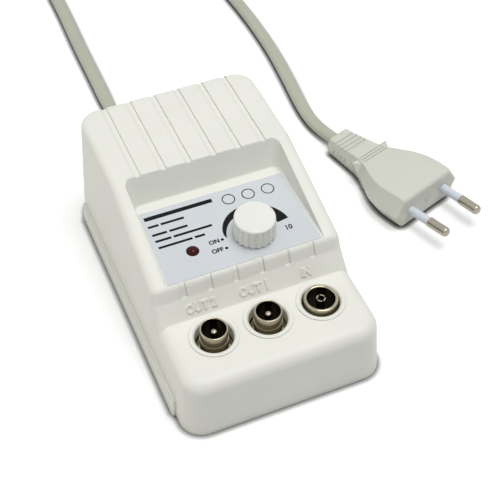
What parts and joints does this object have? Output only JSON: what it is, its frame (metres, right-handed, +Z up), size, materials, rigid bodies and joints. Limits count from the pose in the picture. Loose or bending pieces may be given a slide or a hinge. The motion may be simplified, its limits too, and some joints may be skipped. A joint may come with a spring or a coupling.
{
  "type": "tv signal amplifier",
  "caption": "Mains powered aerial signal amplifier: stepped white case with coaxial connectors, gain knob, lamp and a corded flat plug.",
  "frame": {"origin": "middle of the housing's footprint on the table", "axes": "+X to the right seen from the front, +Y to the back where the cord leaves, +Z up"},
  "size_m": [0.1426, 0.334, 0.0487],
  "materials": {
    "white_shell": "satin white moulded plastic",
    "base_plastic": "satin white moulded plastic",
    "zinc_steel": "zinc plated",
    "printed_label": "semi gloss film",
    "knob_plastic": "satin",
    "grey_metal": "plain",
    "track_board": "dull",
    "nickel": "bright nickel plate",
    "tinned_wire": "tinned",
    "red_lens": "clear dark red",
    "circuit_board": "solder mask",
    "core_steel": "varnished plates",
    "bobbin_plastic": "dull",
    "copper": "enamelled copper",
    "black_plastic": "dull",
    "capacitor_sleeve": "shrink sleeve",
    "ceramic": "dipped ceramic",
    "resistor_body": "lacquer",
    "ferrite": "ferrite",
    "lead_insulation": "soft plastic",
    "tail_insulation": "soft plastic",
    "cord_plastic": "soft satin plastic",
    "plug_plastic": "soft satin plastic",
    "sleeve_plastic": "satin"
  },
  "bodies": {
    "root": {"base_cover": "base_plastic", "ceramic_capacitors": "ceramic", "cord_grommet": "cord_plastic", "ferrite_splitter": "ferrite", "front_label": "printed_label", "housing_screws": "zinc_steel", "in_contact": "nickel", "in_insulator": "black_plastic", "in_shell": "nickel", "led_leads": "tinned_wire", "led_lens": "red_lens", "mains_cord_coil": "cord_plastic", "mains_cord_front": "cord_plastic", "mains_cord_rear": "cord_plastic", "mains_tails": "tail_insulation", "out_left_insulator": "black_plastic", "out_left_pin": "nickel", "out_left_shell": "nickel", "out_middle_insulator": "black_plastic", "out_middle_pin": "nickel", "out_middle_shell": "nickel", "plug_body": "plug_plastic", "plug_pin_sleeves": "sleeve_plastic", "plug_pins": "nickel", "pot_case": "grey_metal", "pot_nut": "nickel", "pot_terminals": "tinned_wire", "pot_track": "track_board", "power_board": "circuit_board", "power_board_screws": "zinc_steel", "power_leads": "lead_insulation", "primary_winding": "copper", "rectifier_diodes": "black_plastic", "resistors": "resistor_body", "rf_board": "circuit_board", "rf_board_screws": "zinc_steel", "rf_transistors": "black_plastic", "secondary_winding": "copper", "smoothing_capacitor": "capacitor_sleeve", "top_housing": "white_shell", "transformer_bobbin": "bobbin_plastic", "transformer_core": "core_steel", "transformer_pins": "tinned_wire", "voltage_regulator": "black_plastic"},
    "gain_control": {"gain_knob": "knob_plastic", "pot_spindle": "grey_metal"}
  },
  "joints": [
    {"name": "gain_turn", "type": "hinge", "parent": "root", "child": "gain_control", "pos_m": [0.0074, -0.013, 0.0364], "axis": [0, -0.0698, 0.9976], "range_deg": [-300, 0]}
  ]
}
